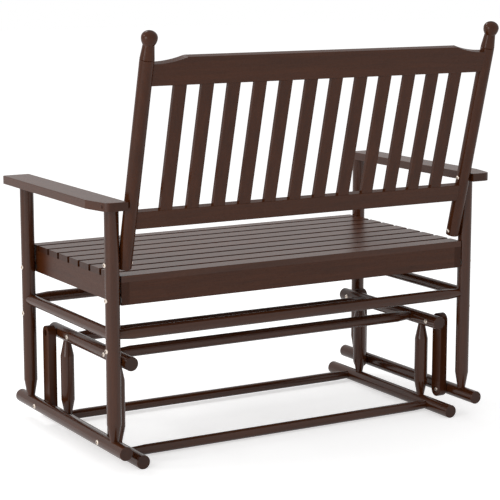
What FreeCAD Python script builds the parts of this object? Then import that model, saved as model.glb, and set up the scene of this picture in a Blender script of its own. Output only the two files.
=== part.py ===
import FreeCAD, Part
import math
import os

# Two-seat glider bench: a slatted seat with arms and a raked back hangs on four swing links
# from a low base of turned rails, and glides forwards and backwards over it.
# X runs along the bench with the sitter's left positive, the sitter faces -Y, +Z is up.
# The origin is on the floor under the middle of the whole bench. Sizes are in millimetres and
# degrees, and the depth places below are measured from the middle of the base.

# Base
BASE_TRACK = 878.0              # between the axes of the left and right base runners
BASE_RUNNER_LENGTH = 555.0
BASE_RUNNER_DIAMETER = 33.5
BASE_FOOT_FLAT = 0.5            # planed off the underside of a runner so that it sits flat
BASE_RAIL_LENGTH = 443.0
BASE_RAIL_DIAMETER = 34.0
SPINDLE_DIAMETER = 34.0
SPINDLE_END_DIAMETER = 18.5
SPINDLE_TAPER = 37.0
SPINDLE_DEPTH = 288.0           # between the front and rear spindles
FLOOR_STRETCHER_DEPTH = 368.0   # between the front and rear floor stretchers
FLOOR_STRETCHER_DIAMETER = 24.5
UPPER_STRETCHER_DEPTH = 212.0   # between the front and rear upper stretchers
UPPER_STRETCHER_RISE = 1.5      # upper stretcher axes above the axes of the base rails

# Swing links
PIVOT_DEPTH = 370.0             # between the front and rear pivots
LINK_LENGTH = 185.0             # pivot to pivot
LINK_WIDTH = 35.6
LINK_THICKNESS = 22.0
LINK_EDGE_ROUND = 1.2
LINK_POCKET_DIAMETER = 15.0
LINK_UPPER_POCKET_DEPTH = 13.0
BUSH_WALL = 2.0

# Seat frame
SEAT_RUNNER_HEIGHT = 52.0       # axis above the floor
SEAT_RUNNER_LENGTH = 611.0
SEAT_RUNNER_DIAMETER = 33.0
LEG_DIAMETER = 34.0
LEG_FOOT_DIAMETER = 20.5
LEG_TAPER = 39.0
LEG_TOP_TENON_DIAMETER = 16.0
LEG_TOP_TENON = 11.0
STRETCHER_DROP = 69.0           # stretcher axes below the underside of the aprons
SIDE_STRETCHER_DIAMETER = 27.0
SIDE_TENON_DIAMETER = 14.0
CROSS_STRETCHER_DIAMETER = 27.4
CROSS_STRETCHER_END_DIAMETER = 21.0
CROSS_STRETCHER_TAPER = 34.0

# Seat
SEAT_HEIGHT = 453.0             # top of the slats above the floor
SEAT_DEPTH = 506.0              # between the outer faces of the front and rear aprons
APRON_HEIGHT = 53.0
APRON_THICKNESS = 20.0
SLAT_THICKNESS = 15.0
SLAT_COUNT = 9
SLAT_GAP = 11.2
SLAT_EDGE_ROUND = 1.0
REAR_SLAT_WIDTH = 46.0
FRONT_SLAT_WIDTH = 37.0
FRONT_SLAT_OVERHANG = 9.0
FRONT_SLAT_NOSE = 3.5
LEG_SPACER = 2.5

# Armrests
ARM_RISE = 176.0                # top of the armrests above the top of the slats
ARM_WIDTH = 70.5
ARM_THICKNESS = 20.0
ARM_FRONT_OVERHANG = 23.5       # ahead of the front leg axes
ARM_REAR_OVERHANG = 53.0        # behind the rear leg axes
ARM_TAPER_LENGTH = 76.0         # where the outer edge turns in, to the rear end
ARM_TAPER_INSET = 18.0
ARM_REAR_ROUND = 23.0           # rear outer corner
ARM_EDGE_ROUND = 2.0
ARM_CORNER_ROUND = 5.0

# Back
BACK_RAKE = 14.7
POST_DIAMETER = 33.6
POST_SET = 4.0                  # post axis ahead of the leg axis at its lower bolt
POST_BOLT_RISE = 26.0           # lower post bolt above the top of the slats
POST_FOOT = 11.0                # post below its lower bolt
POST_GROOVE_RISE = 8.5          # groove above the ends of the top rail, along the post
POST_GROOVE_DEPTH = 1.2
POST_CONE = 33.1                # groove to the neck under the finial
POST_NECK_DIAMETER = 26.5
FINIAL_DIAMETER = 37.2
FINIAL_FLARE = 16.3             # neck to the widest part of the finial
FINIAL_DOME = 15.9              # widest part to the top
BACK_RAIL_THICKNESS = 20.0
BACK_RAIL_TENON = 12.0
BACK_RAIL_TENON_THICKNESS = 11.0
BACK_RAIL_TENON_SHOULDER = 7.0
BACK_RAIL_EDGE_ROUND = 2.0
BOTTOM_RAIL_FOOT = 86.0         # rail heights run along the post from its lower bolt
BOTTOM_RAIL_HEIGHT = 42.0
TOP_RAIL_FOOT = 425.0
TOP_RAIL_END_HEIGHT = 50.6
TOP_RAIL_CREST = 14.0           # rise of the middle above the ends
TOP_RAIL_SHOULDER = 79.0        # length of each hollow shoulder
BACK_SLAT_COUNT = 12
BACK_SLAT_PITCH = 68.4
BACK_SLAT_WIDTH = 31.0
BACK_SLAT_THICKNESS = 12.0
BACK_SLAT_INSET = 1.5           # rear faces of the slats ahead of the rear faces of the rails
BACK_SLAT_EDGE_ROUND = 1.2
BACK_SLAT_TENON = 10.0
BACK_SLAT_TENON_THICKNESS = 6.0
BACK_SLAT_TENON_SHOULDER = 3.0

# Joints in the wood
TENON_DEPTH = 12.0              # round ends let into runners, rails and legs
GLUE_GAP = 0.1
SOCKET_END_GAP = 0.5
TURNED_END_ROUND = 2.0
TOUCH_GAP = 0.2                 # between round pieces that lie side by side
SOCKET_WALL = 1.5               # left between two sockets that meet inside a leg

# Bolts, nuts and washers
PIVOT_SLEEVE_DIAMETER = 8.0
PIVOT_SLEEVE_REACH = 12.0       # into a base rail or seat runner
PIVOT_RUNNING_GAP = 0.05        # radial, between a pivot sleeve and its bush
FRAME_BOLT_DIAMETER = 6.0
BOLT_HOLE_GAP = 0.15            # radial, between a fixed bolt and its hole
HEAD_DIAMETER = 12.0
POST_HEAD_DIAMETER = 10.5       # on the inner sides of the posts
HEAD_HEIGHT = 3.3
HEAD_DOME = 2.2
SOCKET_ACROSS_FLATS = 5.0
SOCKET_DEPTH = 2.0
SLEEVE_SOCKET_DEPTH = 4.0       # through the head of a sleeve nut into its bore
SPOT_FACE_DEPTH = 1.2
SPOT_FACE_GAP = 0.4
WASHER_DIAMETER = 22.0
WASHER_THICKNESS = 2.0
LINK_SIDE_GAP = 0.3             # between a link and the washers and nuts beside it
LINK_CLEARANCE = 0.6            # least gap from a link to the spindles and legs that it swings past
BOLT_PAST_NUT = 1.0
CROSS_NUT_DIAMETER = 10.0
CROSS_NUT_LENGTH = 14.0
POST_SLEEVE_DIAMETER = 8.0
ARM_SLEEVE_DIAMETER = 9.0
ARM_SLEEVE_LENGTH = 14.0
ARM_SLEEVE_DEPTH = 7.0          # outer end of the sleeve nut below the edge of the armrest
APRON_BOLT_RISE = 12.5          # above the underside of the aprons
APRON_BOLT_REACH = 34.0         # into the end of the front or rear apron
CROSS_NUT_INSET = 22.0          # cross nut axis from the end of the front or rear apron
LEG_SCREW_DROP = 36.0           # leg screws below the stretcher axes
LEG_SCREW_LENGTH = 26.0
RAIL_SCREW_REACH = 34.0         # into the end of a base stretcher

# Places that follow from the sizes above
SIDES = {"left": 1, "right": -1}
ENDS = {"front": -1, "rear": 1}
BASE_X = BASE_TRACK / 2
BASE_RUNNER_RADIUS = BASE_RUNNER_DIAMETER / 2
BASE_RAIL_RADIUS = BASE_RAIL_DIAMETER / 2
SEAT_RUNNER_RADIUS = SEAT_RUNNER_DIAMETER / 2
LEG_RADIUS = LEG_DIAMETER / 2
POST_RADIUS = POST_DIAMETER / 2
BASE_RUNNER_Z = BASE_RUNNER_RADIUS - BASE_FOOT_FLAT
LOWER_PIVOT_Z = SEAT_RUNNER_HEIGHT
UPPER_PIVOT_Z = LOWER_PIVOT_Z + LINK_LENGTH
RAIL_FACE_X = BASE_X + BASE_RAIL_RADIUS - SPOT_FACE_DEPTH
SPINDLE_FACE_X = BASE_X + SPINDLE_DIAMETER / 2
LINK_INNER_X = max(RAIL_FACE_X + WASHER_THICKNESS + LINK_SIDE_GAP, SPINDLE_FACE_X + LINK_CLEARANCE)
LINK_OUTER_X = LINK_INNER_X + LINK_THICKNESS
LINK_LOWER_POCKET_DEPTH = HEAD_HEIGHT + 2 * LINK_SIDE_GAP
UPPER_SLEEVE_X = LINK_OUTER_X - LINK_UPPER_POCKET_DEPTH + LINK_SIDE_GAP
LOWER_SLEEVE_X = LINK_INNER_X + LINK_LOWER_POCKET_DEPTH - LINK_SIDE_GAP
RUNNER_NEAR_X = LINK_OUTER_X + LINK_SIDE_GAP + WASHER_THICKNESS - SPOT_FACE_DEPTH
SEAT_X = max(RUNNER_NEAR_X + SEAT_RUNNER_RADIUS, LINK_OUTER_X + LINK_CLEARANCE + LEG_RADIUS)
RUNNER_FACE_X = SEAT_X - SEAT_RUNNER_RADIUS + SPOT_FACE_DEPTH
APRON_X = SEAT_X - LEG_RADIUS + SPOT_FACE_DEPTH - LEG_SPACER
POST_X = SEAT_X - LEG_RADIUS - TOUCH_GAP - POST_RADIUS
ARM_INNER_X = POST_X + POST_RADIUS + TOUCH_GAP
ARM_OUTER_X = ARM_INNER_X + ARM_WIDTH
APRON_TOP_Z = SEAT_HEIGHT - SLAT_THICKNESS
APRON_FOOT_Z = APRON_TOP_Z - APRON_HEIGHT
STRETCHER_Z = APRON_FOOT_Z - STRETCHER_DROP
APRON_BOLT_Z = APRON_FOOT_Z + APRON_BOLT_RISE
LEG_SCREW_Z = STRETCHER_Z - LEG_SCREW_DROP
POST_BOLT_Z = SEAT_HEIGHT + POST_BOLT_RISE
ARM_TOP_Z = SEAT_HEIGHT + ARM_RISE
ARM_FOOT_Z = ARM_TOP_Z - ARM_THICKNESS
ARM_BOLT_Z = ARM_TOP_Z - ARM_THICKNESS / 2
LEG_Y = (SEAT_DEPTH - APRON_THICKNESS) / 2
POST_Y = LEG_Y - POST_SET
PIVOT_Y = PIVOT_DEPTH / 2
RAKE_SLOPE = math.tan(math.radians(BACK_RAKE))
ARM_BOLT_Y = POST_Y + RAKE_SLOPE * (ARM_BOLT_Z - POST_BOLT_Z)
ARM_FRONT_Y = -LEG_Y - ARM_FRONT_OVERHANG
ARM_REAR_Y = LEG_Y + ARM_REAR_OVERHANG
SEAT_FRONT_Y = -SEAT_DEPTH / 2 - FRONT_SLAT_OVERHANG
SEAT_REAR_Y = SEAT_DEPTH / 2
CROSS_END_X = SEAT_X - SIDE_TENON_DIAMETER / 2 - SOCKET_WALL
POST_GROOVE = TOP_RAIL_FOOT + TOP_RAIL_END_HEIGHT + POST_GROOVE_RISE
POST_NECK = POST_GROOVE + POST_CONE
FINIAL_RADIUS = FINIAL_DIAMETER / 2
FINIAL_WIDEST = POST_NECK + FINIAL_FLARE
FINIAL_TOP = FINIAL_WIDEST + FINIAL_DOME
RAKE_SINE = math.sin(math.radians(BACK_RAKE))
RAKE_COSINE = math.cos(math.radians(BACK_RAKE))
FINIAL_REACH = math.hypot(FINIAL_RADIUS * RAKE_COSINE, FINIAL_DOME * RAKE_SINE)
FINIAL_REAR_Y = POST_Y + FINIAL_WIDEST * RAKE_SINE + FINIAL_REACH
MIDDLE_Y = (FINIAL_REAR_Y - SEAT_RUNNER_LENGTH / 2) / 2
WASHER_SEAT_RADIUS = WASHER_DIAMETER / 2 + SPOT_FACE_GAP
CLEAR_OUT = 2 * HEAD_HEIGHT     # how far a cutter reaches out past a surface
QUARTER_ROUND = 4 / 3 * (math.sqrt(2) - 1)    # handle of a curve that makes a quarter round
TINY = 1e-6

PARTS = {}


def vector(x, y, z):
    return FreeCAD.Vector(x, y, z)


def rod(start, end, radius):
    """Plain round bar between two points."""
    along = end - start
    return Part.makeCylinder(radius, along.Length, start, along)


def tube(start, end, outer_radius, inner_radius):
    """Round sleeve or washer between two points."""
    return rod(start, end, outer_radius).cut(rod(start, end, inner_radius))


def board(low, high):
    """Square-edged board between two opposite corners, given in any order."""
    corner = vector(*(min(a, b) for a, b in zip(low, high)))
    size = [abs(b - a) for a, b in zip(low, high)]
    return Part.makeBox(size[0], size[1], size[2], corner)


def place_along(shape, start, direction):
    """Turns a shape made on +Z to point along a direction from a start point."""
    turn = FreeCAD.Rotation(vector(0, 0, 1), direction)
    shape.Placement = FreeCAD.Placement(start, turn)
    return shape


def turned(profile, start, direction):
    """Lathe-turned piece. The profile holds (distance along the axis, radius) from end to end."""
    points = [vector(0, 0, profile[0][0])]
    points += [vector(radius, 0, distance) for distance, radius in profile]
    points.append(vector(0, 0, profile[-1][0]))
    points.append(points[0])
    solid = Part.Face(Part.makePolygon(points)).revolve(vector(0, 0, 0), vector(0, 0, 1), 360)
    return place_along(solid, start, direction)


def tapered_bar(start, end, radius, end_radius, taper, let_in):
    """Turned bar whose tapered ends are let into sockets at both points."""
    along = end - start
    length = along.Length
    profile = [
        (0, end_radius),
        (let_in, end_radius),
        (let_in + taper, radius),
        (length - let_in - taper, radius),
        (length - let_in, end_radius),
        (length, end_radius),
    ]
    return turned(profile, start, along)


def socket(mouth, direction, radius, depth):
    """Cutter for a blind socket that leaves the glue gap round a let-in end."""
    return rod(mouth - direction * CLEAR_OUT, mouth + direction * depth, radius + GLUE_GAP)


def round_ends(bar):
    """Eases the two end edges of a plain round bar."""
    return bar.makeFillet(TURNED_END_ROUND, [edge for edge in bar.Edges if edge.Closed])


def long_edges(shape, axis, wanted):
    """Straight edges that run along X, Y or Z (0, 1, 2) and whose middle passes a test."""
    chosen = []
    for edge in shape.Edges:
        if edge.Curve.TypeId != "Part::GeomLine":
            continue
        along = edge.Vertexes[-1].Point - edge.Vertexes[0].Point
        across = [abs(value) for place, value in enumerate(along) if place != axis]
        if max(across) < TINY and wanted(edge.CenterOfMass):
            chosen.append(edge)
    return chosen


def hexagon(across_flats, foot, height):
    """Upright six-sided prism about the Z axis."""
    corner_radius = across_flats / math.sqrt(3)
    corners = []
    for degrees in range(0, 420, 60):
        angle = math.radians(degrees)
        corners.append(vector(corner_radius * math.cos(angle), corner_radius * math.sin(angle), foot))
    return Part.Face(Part.makePolygon(corners)).extrude(vector(0, 0, height))


def bolt(seat, direction, diameter, length, head_diameter=HEAD_DIAMETER, socket_depth=SOCKET_DEPTH):
    """Dome-headed socket bolt. The head stands on the seat and the shank runs along the direction."""
    head = Part.makeCylinder(head_diameter / 2, HEAD_HEIGHT)
    crown = [edge for edge in head.Edges if edge.Closed and edge.CenterOfMass.z > HEAD_HEIGHT / 2]
    head = head.makeFillet(HEAD_DOME, crown)
    shank = Part.makeCylinder(diameter / 2, length + HEAD_HEIGHT / 2, vector(0, 0, -length))
    key_socket = hexagon(SOCKET_ACROSS_FLATS, HEAD_HEIGHT - socket_depth, CLEAR_OUT)
    solid = head.fuse(shank).cut(key_socket).removeSplitter()
    return place_along(solid, seat, -direction)


def bolt_hole(seat, direction, diameter, length, head_diameter=HEAD_DIAMETER):
    """Cutter for a bolt's clearance hole with a spot face under its head."""
    hole = rod(seat, seat + direction * (length + SOCKET_END_GAP), diameter / 2 + BOLT_HOLE_GAP)
    spot_face = rod(seat - direction * CLEAR_OUT, seat, head_diameter / 2 + SPOT_FACE_GAP)
    return hole.fuse(spot_face)


def sleeve_nut(seat, direction, diameter, length, head_diameter=HEAD_DIAMETER):
    """Dome-headed hollow sleeve that takes the end of a frame bolt coming the other way."""
    sleeve = bolt(seat, direction, diameter, length, head_diameter, SLEEVE_SOCKET_DEPTH)
    bore_end = seat + direction * (length + CLEAR_OUT)
    return sleeve.cut(rod(seat, bore_end, FRAME_BOLT_DIAMETER / 2 + PIVOT_RUNNING_GAP))


def rake(shape):
    """Leans a piece of the back, drawn upright with its lower post bolt at zero height."""
    turn = FreeCAD.Rotation(vector(1, 0, 0), -BACK_RAKE)
    shape.Placement = FreeCAD.Placement(vector(0, POST_Y, POST_BOLT_Z), turn).multiply(shape.Placement)
    return shape


def keep(name, *solids):
    """Stores one named piece, or a group of identical fasteners, for export."""
    shape = solids[0] if len(solids) == 1 else Part.makeCompound(list(solids))
    shape.translate(vector(0, -MIDDLE_Y, 0))
    PARTS[name] = shape


def base_stretcher_places():
    """Name, height and depth place of the four stretchers that tie the base together."""
    for end, way in ENDS.items():
        yield "floor_stretcher_" + end, BASE_RUNNER_Z, way * FLOOR_STRETCHER_DEPTH / 2
        upper_z = UPPER_PIVOT_Z + UPPER_STRETCHER_RISE
        yield "upper_stretcher_" + end, upper_z, way * UPPER_STRETCHER_DEPTH / 2


def rail_screw(side, depth_place, height, rail_radius):
    """Seat, direction and length of the screw that holds a base stretcher from outside the base."""
    seat = vector(side * (BASE_X + rail_radius - SPOT_FACE_DEPTH), depth_place, height)
    length = 2 * rail_radius - SPOT_FACE_DEPTH - TENON_DEPTH + RAIL_SCREW_REACH
    return seat, vector(-side, 0, 0), length


def upper_pivot(side, way):
    """Seat, direction and length of a bolt from inside a base rail out into its pivot sleeve."""
    seat_x = BASE_X - BASE_RAIL_RADIUS + SPOT_FACE_DEPTH
    seat = vector(side * seat_x, way * PIVOT_Y, UPPER_PIVOT_Z)
    return seat, vector(side, 0, 0), UPPER_SLEEVE_X - BOLT_PAST_NUT - seat_x


def upper_sleeve(side, way):
    """Seat, direction and length of the sleeve that an upper pivot turns on."""
    seat = vector(side * UPPER_SLEEVE_X, way * PIVOT_Y, UPPER_PIVOT_Z)
    return seat, vector(-side, 0, 0), UPPER_SLEEVE_X - RAIL_FACE_X + PIVOT_SLEEVE_REACH


def lower_pivot(side, way):
    """Seat, direction and length of a bolt from outside a seat runner in to its pivot sleeve."""
    seat_x = SEAT_X + SEAT_RUNNER_RADIUS - SPOT_FACE_DEPTH
    seat = vector(side * seat_x, way * PIVOT_Y, LOWER_PIVOT_Z)
    return seat, vector(-side, 0, 0), seat_x - LOWER_SLEEVE_X - BOLT_PAST_NUT


def lower_sleeve(side, way):
    """Seat, direction and length of the sleeve that a lower pivot turns on."""
    seat = vector(side * LOWER_SLEEVE_X, way * PIVOT_Y, LOWER_PIVOT_Z)
    return seat, vector(side, 0, 0), RUNNER_FACE_X - LOWER_SLEEVE_X + PIVOT_SLEEVE_REACH


def pivot_hole(pivot, sleeve):
    """Cutter for a pivot bolt's hole, widened where its sleeve enters."""
    seat, direction, length = pivot
    hole = bolt_hole(seat, direction, FRAME_BOLT_DIAMETER, length)
    seat, direction, length = sleeve
    end = seat + direction * (length + SOCKET_END_GAP)
    return hole.fuse(rod(seat, end, PIVOT_SLEEVE_DIAMETER / 2 + BOLT_HOLE_GAP))


def apron_bolt(side, way):
    """Seat, direction and length of a bolt through a leg into the end of the front or rear apron."""
    seat_x = SEAT_X + LEG_RADIUS - SPOT_FACE_DEPTH
    seat = vector(side * seat_x, way * LEG_Y, APRON_BOLT_Z)
    return seat, vector(-side, 0, 0), seat_x - (APRON_X - APRON_THICKNESS) + APRON_BOLT_REACH


def leg_screw(side, way):
    """Seat, direction and length of the short screw in the outside of a leg."""
    seat = vector(side * (SEAT_X + LEG_RADIUS - SPOT_FACE_DEPTH), way * LEG_Y, LEG_SCREW_Z)
    return seat, vector(-side, 0, 0), LEG_SCREW_LENGTH


def post_bolt(side):
    """Seat, direction and length of the bolt through a rear leg and the foot of its post."""
    seat_x = SEAT_X + LEG_RADIUS - SPOT_FACE_DEPTH
    sleeve_x = POST_X - POST_RADIUS + SPOT_FACE_DEPTH
    seat = vector(side * seat_x, POST_Y, POST_BOLT_Z)
    return seat, vector(-side, 0, 0), seat_x - sleeve_x - SOCKET_END_GAP


def arm_bolt(side):
    """Seat, direction and length of the bolt through a post into its armrest."""
    seat_x = POST_X - POST_RADIUS + SPOT_FACE_DEPTH
    seat = vector(side * seat_x, ARM_BOLT_Y, ARM_BOLT_Z)
    length = arm_edge_x(ARM_BOLT_Y) - ARM_SLEEVE_DEPTH - BOLT_PAST_NUT - seat_x
    return seat, vector(side, 0, 0), length


def arm_edge_x(depth_place):
    """Outer edge of the left armrest at a place along its depth, ahead of the round corner."""
    past_start = max(0.0, depth_place - (ARM_REAR_Y - ARM_TAPER_LENGTH))
    return ARM_OUTER_X - ARM_TAPER_INSET * past_start / ARM_TAPER_LENGTH


def make_base_runner(side):
    centre = vector(side * BASE_X, 0, BASE_RUNNER_Z)
    half = vector(0, BASE_RUNNER_LENGTH / 2, 0)
    runner = round_ends(rod(centre - half, centre + half, BASE_RUNNER_RADIUS))
    below = board(
        (side * BASE_X - BASE_RUNNER_DIAMETER, -BASE_RUNNER_LENGTH, -BASE_RUNNER_DIAMETER),
        (side * BASE_X + BASE_RUNNER_DIAMETER, BASE_RUNNER_LENGTH, 0),
    )
    runner = runner.cut(below)
    for way in ENDS.values():
        top = vector(side * BASE_X, way * SPINDLE_DEPTH / 2, BASE_RUNNER_Z + BASE_RUNNER_RADIUS)
        runner = runner.cut(
            socket(top, vector(0, 0, -1), SPINDLE_END_DIAMETER / 2, TENON_DEPTH + SOCKET_END_GAP)
        )
    return cut_for_stretchers(runner, side, "floor_stretcher_", BASE_RUNNER_RADIUS)


def make_base_rail(side):
    centre = vector(side * BASE_X, 0, UPPER_PIVOT_Z)
    half = vector(0, BASE_RAIL_LENGTH / 2, 0)
    rail = round_ends(rod(centre - half, centre + half, BASE_RAIL_RADIUS))
    for way in ENDS.values():
        foot = vector(side * BASE_X, way * SPINDLE_DEPTH / 2, UPPER_PIVOT_Z - BASE_RAIL_RADIUS)
        rail = rail.cut(
            socket(foot, vector(0, 0, 1), SPINDLE_END_DIAMETER / 2, TENON_DEPTH + SOCKET_END_GAP)
        )
        rail = rail.cut(pivot_hole(upper_pivot(side, way), upper_sleeve(side, way)))
        face = vector(side * RAIL_FACE_X, way * PIVOT_Y, UPPER_PIVOT_Z)
        rail = rail.cut(rod(face, face + vector(side * CLEAR_OUT, 0, 0), WASHER_SEAT_RADIUS))
    return cut_for_stretchers(rail, side, "upper_stretcher_", BASE_RAIL_RADIUS)


def cut_for_stretchers(rail, side, family, rail_radius):
    """Sockets on the inside of a base rail or runner, and the screw holes through to them."""
    for name, height, depth_place in base_stretcher_places():
        if not name.startswith(family):
            continue
        mouth = vector(side * (BASE_X - rail_radius), depth_place, height)
        depth = TENON_DEPTH + SOCKET_END_GAP
        end_radius = CROSS_STRETCHER_END_DIAMETER / 2
        rail = rail.cut(socket(mouth, vector(side, 0, 0), end_radius, depth))
        seat, direction, length = rail_screw(side, depth_place, height, rail_radius)
        rail = rail.cut(bolt_hole(seat, direction, FRAME_BOLT_DIAMETER, length))
    return rail


def make_base_stretcher(height, depth_place, rail_radius, diameter):
    reach = BASE_X - rail_radius + TENON_DEPTH
    bar = tapered_bar(
        vector(-reach, depth_place, height),
        vector(reach, depth_place, height),
        diameter / 2,
        CROSS_STRETCHER_END_DIAMETER / 2,
        CROSS_STRETCHER_TAPER,
        TENON_DEPTH,
    )
    for side in SIDES.values():
        seat, direction, length = rail_screw(side, depth_place, height, rail_radius)
        tip = seat + direction * (length + SOCKET_END_GAP)
        bar = bar.cut(rod(seat, tip, FRAME_BOLT_DIAMETER / 2 + BOLT_HOLE_GAP))
    return bar


def make_spindle(side, way):
    place = (side * BASE_X, way * SPINDLE_DEPTH / 2)
    foot = BASE_RUNNER_Z + BASE_RUNNER_RADIUS - TENON_DEPTH
    top = UPPER_PIVOT_Z - BASE_RAIL_RADIUS + TENON_DEPTH
    return tapered_bar(
        vector(*place, foot),
        vector(*place, top),
        SPINDLE_DIAMETER / 2,
        SPINDLE_END_DIAMETER / 2,
        SPINDLE_TAPER,
        TENON_DEPTH,
    )


def make_base():
    screws = []
    for side_name, side in SIDES.items():
        keep("base_runner_" + side_name, make_base_runner(side))
        keep("base_rail_" + side_name, make_base_rail(side))
        for end, way in ENDS.items():
            keep("base_spindle_" + end + "_" + side_name, make_spindle(side, way))
    for name, height, depth_place in base_stretcher_places():
        on_floor = name.startswith("floor")
        rail_radius = BASE_RUNNER_RADIUS if on_floor else BASE_RAIL_RADIUS
        diameter = FLOOR_STRETCHER_DIAMETER if on_floor else CROSS_STRETCHER_DIAMETER
        keep(name, make_base_stretcher(height, depth_place, rail_radius, diameter))
        for side in SIDES.values():
            seat, direction, length = rail_screw(side, depth_place, height, rail_radius)
            screws.append(bolt(seat, direction, FRAME_BOLT_DIAMETER, length))
    keep("base_stretcher_screws", *screws)


def make_link(side, way):
    """Flat bar with round ends, a bushed eye at each end and a pocket for each sleeve's head."""
    half_width = LINK_WIDTH / 2
    depth_place = way * PIVOT_Y
    left = depth_place - half_width
    right = depth_place + half_width
    start_x = LINK_INNER_X
    upper_arc = Part.Arc(
        vector(start_x, right, UPPER_PIVOT_Z),
        vector(start_x, depth_place, UPPER_PIVOT_Z + half_width),
        vector(start_x, left, UPPER_PIVOT_Z),
    )
    lower_arc = Part.Arc(
        vector(start_x, left, LOWER_PIVOT_Z),
        vector(start_x, depth_place, LOWER_PIVOT_Z - half_width),
        vector(start_x, right, LOWER_PIVOT_Z),
    )
    outline = Part.Wire([
        upper_arc.toShape(),
        Part.makeLine(vector(start_x, left, UPPER_PIVOT_Z), vector(start_x, left, LOWER_PIVOT_Z)),
        lower_arc.toShape(),
        Part.makeLine(vector(start_x, right, LOWER_PIVOT_Z), vector(start_x, right, UPPER_PIVOT_Z)),
    ])
    link = Part.Face(outline).extrude(vector(LINK_THICKNESS, 0, 0))
    rims = [edge for edge in link.Edges if edge.BoundBox.XLength < TINY]
    link = link.makeFillet(LINK_EDGE_ROUND, rims)
    bush_radius = PIVOT_SLEEVE_DIAMETER / 2 + PIVOT_RUNNING_GAP + BUSH_WALL + GLUE_GAP
    for height in (UPPER_PIVOT_Z, LOWER_PIVOT_Z):
        inner = vector(LINK_INNER_X - CLEAR_OUT, depth_place, height)
        outer = vector(LINK_OUTER_X + CLEAR_OUT, depth_place, height)
        link = link.cut(rod(inner, outer, bush_radius))
    for height, floor_x, mouth_x in (
        (UPPER_PIVOT_Z, LINK_OUTER_X - LINK_UPPER_POCKET_DEPTH, LINK_OUTER_X + CLEAR_OUT),
        (LOWER_PIVOT_Z, LINK_INNER_X + LINK_LOWER_POCKET_DEPTH, LINK_INNER_X - CLEAR_OUT),
    ):
        floor = vector(floor_x, depth_place, height)
        mouth = vector(mouth_x, depth_place, height)
        link = link.cut(rod(floor, mouth, LINK_POCKET_DIAMETER / 2))
    return link if side > 0 else link.mirror(vector(0, 0, 0), vector(1, 0, 0))


def make_bushes(side, way):
    """The two plain bushes pressed into the eyes of one link."""
    inner_radius = PIVOT_SLEEVE_DIAMETER / 2 + PIVOT_RUNNING_GAP
    outer_radius = inner_radius + BUSH_WALL
    spans = (
        (UPPER_PIVOT_Z, LINK_INNER_X, LINK_OUTER_X - LINK_UPPER_POCKET_DEPTH),
        (LOWER_PIVOT_Z, LINK_INNER_X + LINK_LOWER_POCKET_DEPTH, LINK_OUTER_X),
    )
    return [
        tube(
            vector(side * start_x, way * PIVOT_Y, height),
            vector(side * end_x, way * PIVOT_Y, height),
            outer_radius,
            inner_radius,
        )
        for height, start_x, end_x in spans
    ]


def make_pivots():
    upper_bolts, upper_hardware, lower_bolts, lower_hardware = [], [], [], []
    washer_bore = PIVOT_SLEEVE_DIAMETER / 2 + PIVOT_RUNNING_GAP
    for side_name, side in SIDES.items():
        for end, way in ENDS.items():
            label = end + "_" + side_name
            keep("swing_link_" + label, make_link(side, way))
            keep("link_bushes_" + label, *make_bushes(side, way))

            seat, direction, length = upper_pivot(side, way)
            upper_bolts.append(bolt(seat, direction, FRAME_BOLT_DIAMETER, length))
            seat, direction, length = upper_sleeve(side, way)
            upper_hardware.append(sleeve_nut(seat, direction, PIVOT_SLEEVE_DIAMETER, length))
            washer_at = vector(side * RAIL_FACE_X, way * PIVOT_Y, UPPER_PIVOT_Z)
            washer_end = vector(side * (LINK_INNER_X - LINK_SIDE_GAP), way * PIVOT_Y, UPPER_PIVOT_Z)
            upper_hardware.append(tube(washer_at, washer_end, WASHER_DIAMETER / 2, washer_bore))

            seat, direction, length = lower_pivot(side, way)
            lower_bolts.append(bolt(seat, direction, FRAME_BOLT_DIAMETER, length))
            seat, direction, length = lower_sleeve(side, way)
            lower_hardware.append(sleeve_nut(seat, direction, PIVOT_SLEEVE_DIAMETER, length))
            washer_at = vector(side * RUNNER_FACE_X, way * PIVOT_Y, LOWER_PIVOT_Z)
            washer_end = vector(side * (LINK_OUTER_X + LINK_SIDE_GAP), way * PIVOT_Y, LOWER_PIVOT_Z)
            lower_hardware.append(tube(washer_at, washer_end, WASHER_DIAMETER / 2, washer_bore))
    keep("upper_pivot_bolts", *upper_bolts)
    keep("upper_pivot_nuts_and_washers", *upper_hardware)
    keep("lower_pivot_bolts", *lower_bolts)
    keep("lower_pivot_nuts_and_washers", *lower_hardware)


def make_seat_runner(side):
    centre = vector(side * SEAT_X, 0, SEAT_RUNNER_HEIGHT)
    half = vector(0, SEAT_RUNNER_LENGTH / 2, 0)
    runner = round_ends(rod(centre - half, centre + half, SEAT_RUNNER_RADIUS))
    for way in ENDS.values():
        top = vector(side * SEAT_X, way * LEG_Y, SEAT_RUNNER_HEIGHT + SEAT_RUNNER_RADIUS)
        runner = runner.cut(
            socket(top, vector(0, 0, -1), LEG_FOOT_DIAMETER / 2, TENON_DEPTH + SOCKET_END_GAP)
        )
        runner = runner.cut(pivot_hole(lower_pivot(side, way), lower_sleeve(side, way)))
        face = vector(side * RUNNER_FACE_X, way * PIVOT_Y, LOWER_PIVOT_Z)
        runner = runner.cut(rod(face, face - vector(side * CLEAR_OUT, 0, 0), WASHER_SEAT_RADIUS))
    return runner


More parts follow.
